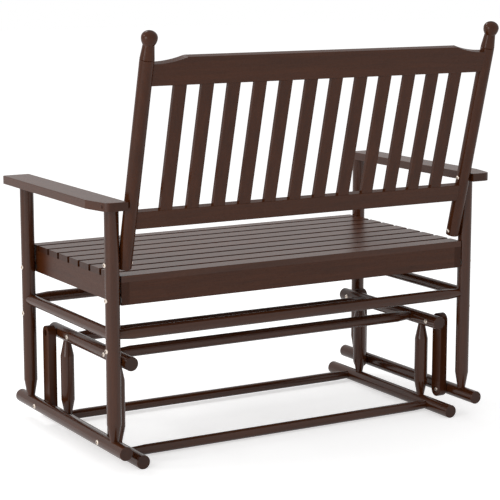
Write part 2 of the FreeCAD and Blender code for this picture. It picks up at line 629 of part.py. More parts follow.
def make_leg(side, way):
    foot_z = SEAT_RUNNER_HEIGHT + SEAT_RUNNER_RADIUS - TENON_DEPTH
    length = ARM_FOOT_Z - foot_z
    profile = [
        (0, LEG_FOOT_DIAMETER / 2),
        (TENON_DEPTH, LEG_FOOT_DIAMETER / 2),
        (TENON_DEPTH + LEG_TAPER, LEG_RADIUS),
        (length, LEG_RADIUS),
        (length, LEG_TOP_TENON_DIAMETER / 2),
        (length + LEG_TOP_TENON, LEG_TOP_TENON_DIAMETER / 2),
    ]
    leg = turned(profile, vector(side * SEAT_X, way * LEG_Y, foot_z), vector(0, 0, 1))
    axis_point = vector(side * SEAT_X, way * LEG_Y, STRETCHER_Z)

    side_mouth = axis_point - vector(0, way * LEG_RADIUS, 0)
    leg = leg.cut(
        socket(side_mouth, vector(0, way, 0), SIDE_TENON_DIAMETER / 2, TENON_DEPTH + SOCKET_END_GAP)
    )
    cross_mouth = axis_point - vector(side * LEG_RADIUS, 0, 0)
    cross_depth = CROSS_END_X + SOCKET_END_GAP - (SEAT_X - LEG_RADIUS)
    leg = leg.cut(
        socket(cross_mouth, vector(side, 0, 0), CROSS_STRETCHER_END_DIAMETER / 2, cross_depth)
    )

    fixings = [apron_bolt(side, way), leg_screw(side, way)]
    if way > 0:
        fixings.append(post_bolt(side))
    for seat, direction, reach in fixings:
        leg = leg.cut(bolt_hole(seat, direction, FRAME_BOLT_DIAMETER, reach))
    spacer_face = vector(side * (SEAT_X - LEG_RADIUS + SPOT_FACE_DEPTH), way * LEG_Y, APRON_BOLT_Z)
    return leg.cut(rod(spacer_face, spacer_face - vector(side * CLEAR_OUT, 0, 0), WASHER_SEAT_RADIUS))


def make_side_stretcher(side):
    """Round bar coped to the two legs that it joins, with a thinner tenon in each."""
    reach = LEG_Y - LEG_RADIUS + TENON_DEPTH
    bar = rod(
        vector(side * SEAT_X, -LEG_Y, STRETCHER_Z),
        vector(side * SEAT_X, LEG_Y, STRETCHER_Z),
        SIDE_STRETCHER_DIAMETER / 2,
    )
    for way in ENDS.values():
        leg_line = vector(side * SEAT_X, way * LEG_Y, STRETCHER_Z - SIDE_STRETCHER_DIAMETER)
        leg_end = leg_line + vector(0, 0, 2 * SIDE_STRETCHER_DIAMETER)
        bar = bar.cut(rod(leg_line, leg_end, LEG_RADIUS))
        cross_end = vector(side * SEAT_X, way * LEG_Y, STRETCHER_Z)
        cross_start = cross_end - vector(side * LEG_DIAMETER, 0, 0)
        cross_radius = CROSS_STRETCHER_END_DIAMETER / 2 + TOUCH_GAP
        bar = bar.cut(rod(cross_start, cross_end, cross_radius))
    tenon = rod(
        vector(side * SEAT_X, -reach, STRETCHER_Z),
        vector(side * SEAT_X, reach, STRETCHER_Z),
        SIDE_TENON_DIAMETER / 2,
    )
    return bar.fuse(tenon).removeSplitter()


def make_cross_stretcher(way):
    let_in = CROSS_END_X - (SEAT_X - LEG_RADIUS)
    return tapered_bar(
        vector(-CROSS_END_X, way * LEG_Y, STRETCHER_Z),
        vector(CROSS_END_X, way * LEG_Y, STRETCHER_Z),
        CROSS_STRETCHER_DIAMETER / 2,
        CROSS_STRETCHER_END_DIAMETER / 2,
        CROSS_STRETCHER_TAPER,
        let_in,
    )


def make_side_apron(side):
    apron = board(
        (side * APRON_X, -SEAT_DEPTH / 2, APRON_FOOT_Z),
        (side * (APRON_X - APRON_THICKNESS), SEAT_DEPTH / 2, APRON_TOP_Z),
    )
    for way in ENDS.values():
        seat, direction, length = apron_bolt(side, way)
        tip = seat + direction * length
        apron = apron.cut(rod(seat, tip, FRAME_BOLT_DIAMETER / 2 + BOLT_HOLE_GAP))
    return apron


def make_end_apron(way):
    """Front or rear board of the seat frame, with a bolt hole and a cross nut hole at each end."""
    outer_y = way * SEAT_DEPTH / 2
    end_x = APRON_X - APRON_THICKNESS
    apron = board(
        (-end_x, outer_y, APRON_FOOT_Z),
        (end_x, outer_y - way * APRON_THICKNESS, APRON_TOP_Z),
    )
    for side in SIDES.values():
        seat, direction, length = apron_bolt(side, way)
        tip = seat + direction * (length + SOCKET_END_GAP)
        apron = apron.cut(rod(seat, tip, FRAME_BOLT_DIAMETER / 2 + BOLT_HOLE_GAP))
        nut_foot = vector(side * (end_x - CROSS_NUT_INSET), way * LEG_Y, APRON_FOOT_Z)
        nut_depth = APRON_BOLT_RISE + CROSS_NUT_LENGTH / 2
        apron = apron.cut(socket(nut_foot, vector(0, 0, 1), CROSS_NUT_DIAMETER / 2, nut_depth))
    return apron


def make_cross_nut(side, way):
    """Round nut that lies across the end of an apron bolt."""
    nut_x = side * (APRON_X - APRON_THICKNESS - CROSS_NUT_INSET)
    foot = vector(nut_x, way * LEG_Y, APRON_BOLT_Z - CROSS_NUT_LENGTH / 2)
    nut = rod(foot, foot + vector(0, 0, CROSS_NUT_LENGTH), CROSS_NUT_DIAMETER / 2)
    seat, direction, length = apron_bolt(side, way)
    return nut.cut(rod(seat, seat + direction * length, FRAME_BOLT_DIAMETER / 2 + PIVOT_RUNNING_GAP))


def make_leg_spacer(side, way):
    face = vector(side * APRON_X, way * LEG_Y, APRON_BOLT_Z)
    return tube(
        face,
        face + vector(side * LEG_SPACER, 0, 0),
        WASHER_DIAMETER / 2,
        FRAME_BOLT_DIAMETER / 2 + BOLT_HOLE_GAP,
    )


def seat_slat_spans():
    """Rear and front edges of the slats, counted from the rear of the seat."""
    depth = SEAT_REAR_Y - SEAT_FRONT_Y
    inner = depth - REAR_SLAT_WIDTH - FRONT_SLAT_WIDTH - (SLAT_COUNT - 1) * SLAT_GAP
    inner_width = inner / (SLAT_COUNT - 2)
    widths = [REAR_SLAT_WIDTH] + [inner_width] * (SLAT_COUNT - 2) + [FRONT_SLAT_WIDTH]
    rear = SEAT_REAR_Y
    for width in widths:
        yield rear, rear - width
        rear -= width + SLAT_GAP


def make_seat_slat(rear, front):
    """Slat across the seat with its upper long edges eased, the front one to a round nose."""
    slat = board((-APRON_X, front, APRON_TOP_Z), (APRON_X, rear, SEAT_HEIGHT))
    middle_y = (rear + front) / 2
    middle_z = (APRON_TOP_Z + SEAT_HEIGHT) / 2
    rear_edge = long_edges(slat, 0, lambda place: place.z > middle_z and place.y > middle_y)
    slat = slat.makeFillet(SLAT_EDGE_ROUND, rear_edge)
    front_edge = long_edges(slat, 0, lambda place: place.z > middle_z and place.y < middle_y)
    is_nose = front < SEAT_FRONT_Y + SLAT_GAP
    return slat.makeFillet(FRONT_SLAT_NOSE if is_nose else SLAT_EDGE_ROUND, front_edge)


def make_bearer():
    """Board under the middle of the slats, from the front apron to the rear one."""
    half_depth = SEAT_DEPTH / 2 - APRON_THICKNESS
    return board(
        (-APRON_THICKNESS / 2, -half_depth, APRON_FOOT_Z),
        (APRON_THICKNESS / 2, half_depth, APRON_TOP_Z),
    )


def make_seat():
    bolts, spacers = [], []
    for side_name, side in SIDES.items():
        keep("seat_runner_" + side_name, make_seat_runner(side))
        keep("side_stretcher_" + side_name, make_side_stretcher(side))
        keep("side_apron_" + side_name, make_side_apron(side))
        for end, way in ENDS.items():
            keep("leg_" + end + "_" + side_name, make_leg(side, way))
            for seat, direction, length in (apron_bolt(side, way), leg_screw(side, way)):
                bolts.append(bolt(seat, direction, FRAME_BOLT_DIAMETER, length))
            spacers.append(make_leg_spacer(side, way))
    for end, way in ENDS.items():
        keep("cross_stretcher_" + end, make_cross_stretcher(way))
        keep(end + "_apron", make_end_apron(way))
    keep("seat_bearer", make_bearer())
    for place, (rear, front) in enumerate(seat_slat_spans(), start=1):
        keep("seat_slat_" + str(place), make_seat_slat(rear, front))
    keep("leg_bolts", *bolts)
    keep("leg_spacers", *spacers)


def make_armrest(side):
    """Flat board whose outer edge turns in towards a round rear corner, with eased edges."""
    rear_x = ARM_OUTER_X - ARM_TAPER_INSET
    outline = [
        (ARM_INNER_X, ARM_FRONT_Y),
        (ARM_OUTER_X, ARM_FRONT_Y),
        (ARM_OUTER_X, ARM_REAR_Y - ARM_TAPER_LENGTH),
        (rear_x, ARM_REAR_Y),
        (ARM_INNER_X, ARM_REAR_Y),
        (ARM_INNER_X, ARM_FRONT_Y),
    ]
    corners = [vector(side * x, y, ARM_FOOT_Z) for x, y in outline]
    arm = Part.Face(Part.makePolygon(corners)).extrude(vector(0, 0, ARM_THICKNESS))
    front = long_edges(arm, 2, lambda middle: middle.y < ARM_FRONT_Y + ARM_CORNER_ROUND)
    arm = arm.makeFillet(ARM_CORNER_ROUND, front)
    rear = long_edges(arm, 2, lambda middle: abs(abs(middle.x) - rear_x) < ARM_EDGE_ROUND)
    arm = arm.makeFillet(ARM_REAR_ROUND, rear)
    top = [edge for edge in arm.Edges if edge.BoundBox.ZMin > ARM_TOP_Z - ARM_EDGE_ROUND]
    arm = arm.makeFillet(ARM_EDGE_ROUND, top)

    for way in ENDS.values():
        mouth = vector(side * SEAT_X, way * LEG_Y, ARM_FOOT_Z)
        depth = LEG_TOP_TENON + SOCKET_END_GAP
        arm = arm.cut(socket(mouth, vector(0, 0, 1), LEG_TOP_TENON_DIAMETER / 2, depth))
    seat, direction, length = arm_bolt(side)
    arm = arm.cut(rod(seat, seat + direction * length, FRAME_BOLT_DIAMETER / 2 + BOLT_HOLE_GAP))
    sleeve_start = arm_sleeve_start(side)
    sleeve_end = sleeve_start + direction * (ARM_SLEEVE_LENGTH + CLEAR_OUT)
    return arm.cut(rod(sleeve_start, sleeve_end, ARM_SLEEVE_DIAMETER / 2 + BOLT_HOLE_GAP))


def arm_sleeve_start(side):
    """Inner end of the sleeve nut sunk into the outer edge of an armrest."""
    start_x = arm_edge_x(ARM_BOLT_Y) - ARM_SLEEVE_DEPTH - ARM_SLEEVE_LENGTH
    return vector(side * start_x, ARM_BOLT_Y, ARM_BOLT_Z)


def finial_outline():
    """Profile of a finial, a flare that swells from the neck and a low dome over it."""
    neck_radius = POST_NECK_DIAMETER / 2
    swell = FINIAL_RADIUS - neck_radius
    flare_radius = (swell ** 2 + FINIAL_FLARE ** 2) / (2 * swell)
    half_sweep = math.asin(FINIAL_FLARE / flare_radius) / 2
    sag_radius = FINIAL_RADIUS - flare_radius + flare_radius * math.cos(half_sweep)
    widest = vector(FINIAL_RADIUS, 0, FINIAL_WIDEST)
    flare = Part.Arc(
        vector(neck_radius, 0, POST_NECK),
        vector(sag_radius, 0, FINIAL_WIDEST - flare_radius * math.sin(half_sweep)),
        widest,
    )
    dome = Part.BezierCurve()
    dome.setPoles([
        widest,
        vector(FINIAL_RADIUS, 0, FINIAL_WIDEST + QUARTER_ROUND * FINIAL_DOME),
        vector(QUARTER_ROUND * FINIAL_RADIUS, 0, FINIAL_TOP),
        vector(0, 0, FINIAL_TOP),
    ])
    return [flare.toShape(), dome.toShape()]


def make_post(side):
    """Turned post with a groove, a cone that narrows to a neck and a round finial."""
    straight = Part.makePolygon([
        vector(0, 0, FINIAL_TOP),
        vector(0, 0, -POST_FOOT),
        vector(POST_RADIUS, 0, -POST_FOOT),
        vector(POST_RADIUS, 0, POST_GROOVE - POST_GROOVE_DEPTH),
        vector(POST_RADIUS - POST_GROOVE_DEPTH, 0, POST_GROOVE),
        vector(POST_RADIUS, 0, POST_GROOVE + POST_GROOVE_DEPTH),
        vector(POST_NECK_DIAMETER / 2, 0, POST_NECK),
    ])
    outline = Part.Wire(straight.Edges + finial_outline())
    post = Part.Face(outline).revolve(vector(0, 0, 0), vector(0, 0, 1), 360)
    foot_limit = TURNED_END_ROUND - POST_FOOT
    foot_edge = [edge for edge in post.Edges if edge.Closed and edge.CenterOfMass.z < foot_limit]
    post = post.makeFillet(TURNED_END_ROUND, foot_edge)
    post.Placement = FreeCAD.Placement(vector(side * POST_X, 0, 0), FreeCAD.Rotation())
    for foot, height in back_rail_spans():
        post = post.cut(rail_tenon(side, foot, height, GLUE_GAP, SOCKET_END_GAP))
    post = rake(post)

    seat, direction, length = post_sleeve(side)
    through = length + CLEAR_OUT
    post = post.cut(bolt_hole(seat, direction, POST_SLEEVE_DIAMETER, through, POST_HEAD_DIAMETER))
    seat, direction, length = arm_bolt(side)
    return post.cut(bolt_hole(seat, direction, FRAME_BOLT_DIAMETER, length, POST_HEAD_DIAMETER))


def post_sleeve(side):
    """Seat, direction and length of the sleeve nut through the foot of a post."""
    seat = vector(side * (POST_X - POST_RADIUS + SPOT_FACE_DEPTH), POST_Y, POST_BOLT_Z)
    length = POST_DIAMETER - SPOT_FACE_DEPTH - SOCKET_END_GAP
    return seat, vector(side, 0, 0), length


def make_arm_sleeve(side):
    start = arm_sleeve_start(side)
    end = start + vector(side * ARM_SLEEVE_LENGTH, 0, 0)
    return tube(start, end, ARM_SLEEVE_DIAMETER / 2, FRAME_BOLT_DIAMETER / 2 + PIVOT_RUNNING_GAP)


def back_rail_spans():
    """Foot and end height of the bottom and top rails of the back."""
    return ((BOTTOM_RAIL_FOOT, BOTTOM_RAIL_HEIGHT), (TOP_RAIL_FOOT, TOP_RAIL_END_HEIGHT))


def rail_tenon(side, foot, height, gap, end_gap):
    """Tenon of a back rail in a post, or its mortise where the gaps are not zero."""
    half_thickness = BACK_RAIL_TENON_THICKNESS / 2 + gap
    tenon_end = POST_X - POST_RADIUS + BACK_RAIL_TENON + end_gap
    return board(
        (side * (POST_X - POST_DIAMETER), -half_thickness, foot + BACK_RAIL_TENON_SHOULDER - gap),
        (side * tenon_end, half_thickness, foot + height - BACK_RAIL_TENON_SHOULDER + gap),
    )


def rail_outline(foot, height, crest, shoulder):
    """Rear outline of a back rail, with hollow shoulders where it has a crest."""
    rear = BACK_RAIL_THICKNESS / 2
    half = POST_X
    start_x = POST_X - POST_RADIUS
    end_z = foot + height

    def point(x, z):
        return vector(x, rear, z)

    if crest == 0:
        corners = [(-half, foot), (half, foot), (half, end_z), (-half, end_z), (-half, foot)]
        return Part.makePolygon([point(x, z) for x, z in corners])
    crest_x = start_x - shoulder
    radius = (shoulder ** 2 + crest ** 2) / (2 * crest)
    half_sweep = math.asin(shoulder / radius) / 2
    sag_x = start_x - radius * math.sin(half_sweep)
    sag_z = end_z + radius - radius * math.cos(half_sweep)
    edges = [
        Part.makeLine(point(-half, foot), point(half, foot)),
        Part.makeLine(point(half, foot), point(half, end_z)),
        Part.makeLine(point(half, end_z), point(start_x, end_z)),
        Part.Arc(point(start_x, end_z), point(sag_x, sag_z), point(crest_x, end_z + crest)).toShape(),
        Part.makeLine(point(crest_x, end_z + crest), point(-crest_x, end_z + crest)),
        Part.Arc(point(-crest_x, end_z + crest), point(-sag_x, sag_z), point(-start_x, end_z)).toShape(),
        Part.makeLine(point(-start_x, end_z), point(-half, end_z)),
        Part.makeLine(point(-half, end_z), point(-half, foot)),
    ]
    return Part.Wire(edges)


def make_back_rail(foot, height, crest, shoulder, slat_edge):
    """Rail coped to the round posts, tenoned into them and mortised for the back slats."""
    outline = rail_outline(foot, height, crest, shoulder)
    rail = Part.Face(outline).extrude(vector(0, -BACK_RAIL_THICKNESS, 0))
    eased = long_edges(rail, 0, lambda middle: abs(middle.x) < POST_RADIUS)
    rail = rail.makeFillet(BACK_RAIL_EDGE_ROUND, eased)
    for side in SIDES.values():
        post_low = vector(side * POST_X, 0, foot - height)
        post_high = vector(side * POST_X, 0, foot + 2 * height)
        rail = rail.cut(rod(post_low, post_high, POST_RADIUS))
    for side in SIDES.values():
        rail = rail.fuse(rail_tenon(side, foot, height, 0, 0))
    for place in range(BACK_SLAT_COUNT):
        rail = rail.cut(slat_tenon(place, slat_edge, GLUE_GAP, SOCKET_END_GAP))
    return rake(rail.removeSplitter())


def back_slat_x(place):
    return (place - (BACK_SLAT_COUNT - 1) / 2) * BACK_SLAT_PITCH


def back_slat_rear():
    return BACK_RAIL_THICKNESS / 2 - BACK_SLAT_INSET


def slat_tenon(place, edge_height, gap, end_gap):
    """Tenon of a back slat across a rail edge, or its mortise where the gaps are not zero."""
    middle_x = back_slat_x(place)
    middle_y = back_slat_rear() - BACK_SLAT_THICKNESS / 2
    half_width = BACK_SLAT_WIDTH / 2 - BACK_SLAT_TENON_SHOULDER + gap
    half_thickness = BACK_SLAT_TENON_THICKNESS / 2 + gap
    reach = BACK_SLAT_TENON + end_gap
    return board(
        (middle_x - half_width, middle_y - half_thickness, edge_height - reach),
        (middle_x + half_width, middle_y + half_thickness, edge_height + reach),
    )


def make_back_slat(place):
    low = BOTTOM_RAIL_FOOT + BOTTOM_RAIL_HEIGHT
    high = TOP_RAIL_FOOT
    middle_x = back_slat_x(place)
    rear = back_slat_rear()
    slat = board(
        (middle_x - BACK_SLAT_WIDTH / 2, rear - BACK_SLAT_THICKNESS, low),
        (middle_x + BACK_SLAT_WIDTH / 2, rear, high),
    )
    slat = slat.makeFillet(BACK_SLAT_EDGE_ROUND, long_edges(slat, 2, lambda middle: True))
    for edge_height in (low, high):
        slat = slat.fuse(slat_tenon(place, edge_height, 0, 0))
    return rake(slat.removeSplitter())


def make_back():
    bolts = []
    barrel_nuts = [make_cross_nut(side, way) for side in SIDES.values() for way in ENDS.values()]
    for side_name, side in SIDES.items():
        keep("armrest_" + side_name, make_armrest(side))
        keep("back_post_" + side_name, make_post(side))
        seat, direction, length = post_bolt(side)
        bolts.append(bolt(seat, direction, FRAME_BOLT_DIAMETER, length))
        seat, direction, length = arm_bolt(side)
        bolts.append(bolt(seat, direction, FRAME_BOLT_DIAMETER, length, POST_HEAD_DIAMETER))
        seat, direction, length = post_sleeve(side)
        sleeve = sleeve_nut(seat, direction, POST_SLEEVE_DIAMETER, length, POST_HEAD_DIAMETER)
        barrel_nuts += [sleeve, make_arm_sleeve(side)]
    bottom_edge = BOTTOM_RAIL_FOOT + BOTTOM_RAIL_HEIGHT
    bottom_rail = make_back_rail(BOTTOM_RAIL_FOOT, BOTTOM_RAIL_HEIGHT, 0, 0, bottom_edge)
    keep("back_bottom_rail", bottom_rail)
    crest = (TOP_RAIL_CREST, TOP_RAIL_SHOULDER)
    keep("back_top_rail", make_back_rail(TOP_RAIL_FOOT, TOP_RAIL_END_HEIGHT, *crest, TOP_RAIL_FOOT))
    keep("back_slats", *(make_back_slat(place) for place in range(BACK_SLAT_COUNT)))
    keep("post_bolts", *bolts)
    keep("barrel_nuts", *barrel_nuts)


def export_parts():
    os.makedirs("parts", exist_ok=True)
    for name, shape in PARTS.items():
        if not shape.isValid():
            raise ValueError(name + " is not a valid shape")
        shape.exportStep(os.path.join("parts", name + ".step"))
    print(len(PARTS), "pieces")


make_base()
make_pivots()
make_seat()
make_back()
export_parts()
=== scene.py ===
import math

import bpy
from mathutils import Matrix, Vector

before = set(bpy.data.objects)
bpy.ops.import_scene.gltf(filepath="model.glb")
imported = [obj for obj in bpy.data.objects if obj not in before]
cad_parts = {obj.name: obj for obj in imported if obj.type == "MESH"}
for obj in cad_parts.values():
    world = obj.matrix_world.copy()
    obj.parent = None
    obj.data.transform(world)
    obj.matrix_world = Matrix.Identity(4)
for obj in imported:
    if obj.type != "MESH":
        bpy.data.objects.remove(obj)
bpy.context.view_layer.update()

bl_info = {
    "name": "Glider Swing Bench",
    "version": (1, 0, 0),
    "blender": (4, 5, 0),
    "location": "3D View > Sidebar > Bench",
    "description": "Finishes a wooden glider bench and sets it on a pale studio floor",
    "category": "Object",
}

BACK_RAKE = math.radians(14.7)
RIGHT_ANGLE = math.radians(90)

# Turns that bring the grain of a piece to X
ALONG_BENCH = (0.0, 0.0, 0.0)
FRONT_TO_REAR = (0.0, 0.0, RIGHT_ANGLE)
UPRIGHT = (0.0, RIGHT_ANGLE, 0.0)
RAKED = (-BACK_RAKE, RIGHT_ANGLE, 0.0)

# Wooden pieces: name of the material, turn of the grain and how the names of the pieces start
SEAT = (
    ("seat_slats", ALONG_BENCH, ("seat_slat_",)),
    ("armrests", FRONT_TO_REAR, ("armrest_",)),
)
BACK = (("back_posts_and_slats", RAKED, ("back_post_", "back_slats")),)
BOARDS = (
    (
        "boards_along_bench",
        ALONG_BENCH,
        ("front_apron", "rear_apron", "back_top_rail", "back_bottom_rail"),
    ),
    ("boards_front_to_rear", FRONT_TO_REAR, ("side_apron_", "seat_bearer")),
    ("boards_upright", UPRIGHT, ("swing_link_",)),
)
TURNED_BARS = (
    (
        "bars_along_bench",
        ALONG_BENCH,
        ("cross_stretcher_", "floor_stretcher_", "upper_stretcher_"),
    ),
    (
        "bars_front_to_rear",
        FRONT_TO_REAR,
        ("seat_runner_", "side_stretcher_", "base_runner_", "base_rail_"),
    ),
    ("bars_upright", UPRIGHT, ("leg_front_", "leg_rear_", "base_spindle_")),
)

# How the names of the metal and nylon pieces start
HARDWARE = (
    "upper_pivot_",
    "lower_pivot_",
    "base_stretcher_screws",
    "leg_bolts",
    "post_bolts",
    "barrel_nuts",
)
BUSHES = ("link_bushes_", "leg_spacers")

# Wood: cells of each pattern per metre, along the grain and in both directions across it
TONE_CELLS = (0.9, 11.0, 11.0)
FIGURE_CELLS = (5.0, 90.0, 90.0)
FIBRE_CELLS = (26.0, 900.0, 900.0)
PORE_CELLS = (95.0, 2300.0, 2300.0)
LACQUER_CELLS = (260.0, 260.0, 260.0)

# Wood: year rings that show on cut ends
RING_WAVE = {"Scale": 105.0, "Distortion": 2.0, "Detail": 2.0, "Detail Scale": 0.4}

# Wood: values of a pattern between which its mark comes or goes
TONE_SPAN = (0.30, 0.70)
STREAK_SPAN = (0.36, 0.66)
PORE_SPAN = (0.30, 0.42)
CUT_END_SPAN = (0.6, 0.85)

# Wood: weight of each pattern in the colour, the gloss and the relief
FIGURE_SHARE = 0.65
STREAK_SHARE = 0.7
PORE_STAIN = 0.35
CUT_END_STAIN = 0.25
RING_STAIN = 0.35
FIBRE_ROUGHNESS = 0.2
LACQUER_UNEVENNESS = 0.15
PORE_GLOSS_LOSS = 0.12
CUT_END_GLOSS_LOSS = 0.15
FIBRE_HEIGHT = 0.5
PORE_DEPTH = 0.6

# Wood: matt under the lacquer, so that the lacquer alone mirrors
WOOD_ROUGHNESS = 0.5
WOOD_SPECULAR = 0.0
LACQUER_IOR = 1.5

# Zinc plate: dull clouds, turning marks, painted shade in the key sockets and roughness
CLOUD_CELLS = (220.0, 220.0, 220.0)
MARK_CELLS = (300.0, 2600.0, 2600.0)
DULL_SPAN = (0.35, 0.7)
# Painted shade: how far the AO node looks into the sockets, how many rays it casts, and the openness
# over which the sockets darken
SOCKET_SHADE_REACH = 0.004
SOCKET_SHADE_SAMPLES = 8
SOCKET_SHADE_SPAN = (0.45, 0.85)
ZINC_ROUGHNESS = 0.28
CLOUD_ROUGHNESS = 0.16

# Nylon: mottle and roughness
MOTTLE_CELLS = (400.0, 400.0, 400.0)
MOTTLE_SHADE = 0.86
NYLON_ROUGHNESS = 0.45
MOTTLE_ROUGHNESS = 0.15

# Relief of each finish: strength and depth in metres
GRAIN_BUMP = (0.12, 0.0004)
MARK_BUMP = (0.08, 0.0002)
MOTTLE_BUMP = (0.1, 0.0002)

# Middle value of a noise
NOISE_MIDDLE = 0.5

# A Mix node's sockets for colours, which share their names with others
MIX_FIRST = 6
MIX_SECOND = 7
MIX_RESULT = 2

# Square lamps: name, setting that holds the power, length of a side and place in metres
LIGHTS = (
    ("key_light", "key_power", 0.8, (3.2, -0.9, 2.8)),
    ("side_light", "side_power", 1.8, (3.6, 1.2, 1.3)),
    ("top_light", "top_power", 1.0, (0.3, -2.0, 3.5)),
)
LIGHT_TARGET = Vector((0.0, 0.0, 0.5))
SENSOR_WIDTH = 36.0
WHITE = (1.0, 1.0, 1.0, 1.0)
WHITE_STRENGTH = 1.0

# Rays that show the background straight, in a gloss or through glass
DIRECT_RAYS = ("Is Camera Ray", "Is Glossy Ray", "Is Transmission Ray")


class Value:
    """One output of a material's nodes. Sums written with it add Math nodes."""

    def __init__(self, graph, socket):
        self.graph = graph
        self.socket = socket

    def work_out(self, operation, first, second):
        return self.graph.node("ShaderNodeMath", {"operation": operation}, {0: first, 1: second})

    def __add__(self, other):
        return self.work_out("ADD", self, other)

    def __radd__(self, other):
        return self.work_out("ADD", other, self)

    def __sub__(self, other):
        return self.work_out("SUBTRACT", self, other)

    def __rsub__(self, other):
        return self.work_out("SUBTRACT", other, self)

    def __mul__(self, other):
        return self.work_out("MULTIPLY", self, other)

    def __rmul__(self, other):
        return self.work_out("MULTIPLY", other, self)


class Graph:
    """The nodes of one material or of the world."""

    def __init__(self, tree):
        self.tree = tree
        self.tree.nodes.clear()

    def node(self, kind, settings=None, inputs=None, output=0):
        """Adds a node, sets it up, then gives or links the values of its sockets."""
        made = self.tree.nodes.new(kind)
        for key, value in (settings or {}).items():
            if key == "stops":
                self.set_stops(made.color_ramp, value)
            else:
                setattr(made, key, value)
        for key, value in (inputs or {}).items():
            if isinstance(value, Value):
                self.tree.links.new(value.socket, made.inputs[key])
            else:
                made.inputs[key].default_value = value
        if not made.outputs:
            return None
        return Value(self, made.outputs[output])

    def set_stops(self, ramp, stops):
        """Gives the two stops of a ramp their places and shades of grey."""
        for element, (place, shade) in zip(ramp.elements, stops):
            element.position = place
            element.color = (shade, shade, shade, 1.0)

    def ramp(self, value, span, shades):
        """Takes a value from the first shade to the second over a span."""
        stops = tuple(zip(span, shades))
        return self.node("ShaderNodeValToRGB", {"stops": stops}, {"Fac": value})

    def rise(self, value, span):
        """Grows from 0 to 1 as a value goes up through a span."""
        return self.ramp(value, span, (0.0, 1.0))

    def fall(self, value, span):
        """Shrinks from 1 to 0 as a value goes up through a span."""
        return self.ramp(value, span, (1.0, 0.0))

    def blend(self, factor, first, second):
        """Mixes two colours."""
        settings = {"data_type": "RGBA", "clamp_factor": True}
        inputs = {0: factor, MIX_FIRST: first, MIX_SECOND: second}
        return self.node("ShaderNodeMix", settings, inputs, MIX_RESULT)

    def place(self):
        """Places on the piece itself."""
        return self.node("ShaderNodeTexCoord", output="Object")

    def turned(self, kind, turn):
        """Places or normals of the piece itself, turned so that its grain runs along X."""
        plain = self.node("ShaderNodeTexCoord", output=kind)
        inputs = {"Vector": plain, "Rotation": turn}
        return self.node("ShaderNodeMapping", {"vector_type": "TEXTURE"}, inputs)

    def noise(self, place, cells, detail=3.0, rough=0.5):
        """Noise with so many cells per metre on each axis."""
        spread = self.node("ShaderNodeVectorMath", {"operation": "MULTIPLY"}, {0: place, 1: cells})
        inputs = {"Vector": spread, "Scale": 1.0, "Detail": detail, "Roughness": rough}
        return self.node("ShaderNodeTexNoise", {"noise_dimensions": "3D"}, inputs)

    def bump(self, height, strength, depth):
        """Turns a height into relief."""
        inputs = {"Strength": strength, "Distance": depth, "Height": height}
        return self.node("ShaderNodeBump", None, inputs)

    def surface(self, inputs):
        """Ends a material with its surface."""
        shader = self.node("ShaderNodeBsdfPrincipled", None, inputs)
        self.node("ShaderNodeOutputMaterial", None, {"Surface": shader})


def new_material(name):
    """A material and the empty graph of its nodes."""
    material = bpy.data.materials.new(name)
    material.use_nodes = True
    return material, Graph(material.node_tree)


def solid_colour(colour):
    """A colour as a socket takes it, with full alpha."""
    return (colour[0], colour[1], colour[2], 1.0)


def stained_wood(name, turn, lacquer_weight, lacquer_roughness):
    """Dark stained and lacquered wood whose grain runs along X once the place is turned."""
    finish = bpy.context.scene.bench_finish
    material, graph = new_material(name)
    place = graph.turned("Object", turn)
    facing = graph.node("ShaderNodeSeparateXYZ", None, {"Vector": graph.turned("Normal", turn)})
    cut_end = graph.rise(facing * facing, CUT_END_SPAN)

    figure = graph.noise(place, FIGURE_CELLS, detail=4.0, rough=0.6)
    fibres = graph.noise(place, FIBRE_CELLS, rough=0.65)
    lacquer = graph.noise(place, LACQUER_CELLS, detail=2.0)
    pores = graph.fall(graph.noise(place, PORE_CELLS, detail=1.0), PORE_SPAN)
    tone = graph.rise(graph.noise(place, TONE_CELLS, detail=2.0), TONE_SPAN)
    streak = graph.rise(figure * FIGURE_SHARE + fibres * (1 - FIGURE_SHARE), STREAK_SPAN)
    rings = graph.node(
        "ShaderNodeTexWave",
        {"wave_type": "RINGS", "rings_direction": "X", "wave_profile": "SAW"},
        {"Vector": place, **RING_WAVE},
    )

    depth = streak * STREAK_SHARE + tone * (1 - STREAK_SHARE)
    colour = graph.blend(depth, solid_colour(finish.stain_dark), solid_colour(finish.stain_light))
    soaked = pores * PORE_STAIN + cut_end * (CUT_END_STAIN + rings * RING_STAIN)
    colour = graph.blend(soaked, colour, solid_colour(finish.stain_pore))
    gloss = lacquer_weight + (lacquer - NOISE_MIDDLE) * LACQUER_UNEVENNESS
    gloss = gloss - pores * PORE_GLOSS_LOSS - cut_end * CUT_END_GLOSS_LOSS
    graph.surface(
        {
            "Base Color": colour,
            "Roughness": WOOD_ROUGHNESS + (fibres - NOISE_MIDDLE) * FIBRE_ROUGHNESS,
            "Specular IOR Level": WOOD_SPECULAR,
            "Normal": graph.bump(fibres * FIBRE_HEIGHT - pores * PORE_DEPTH, *GRAIN_BUMP),
            "Coat Weight": gloss,
            "Coat Roughness": lacquer_roughness,
            "Coat IOR": LACQUER_IOR,
        }
    )
    return material


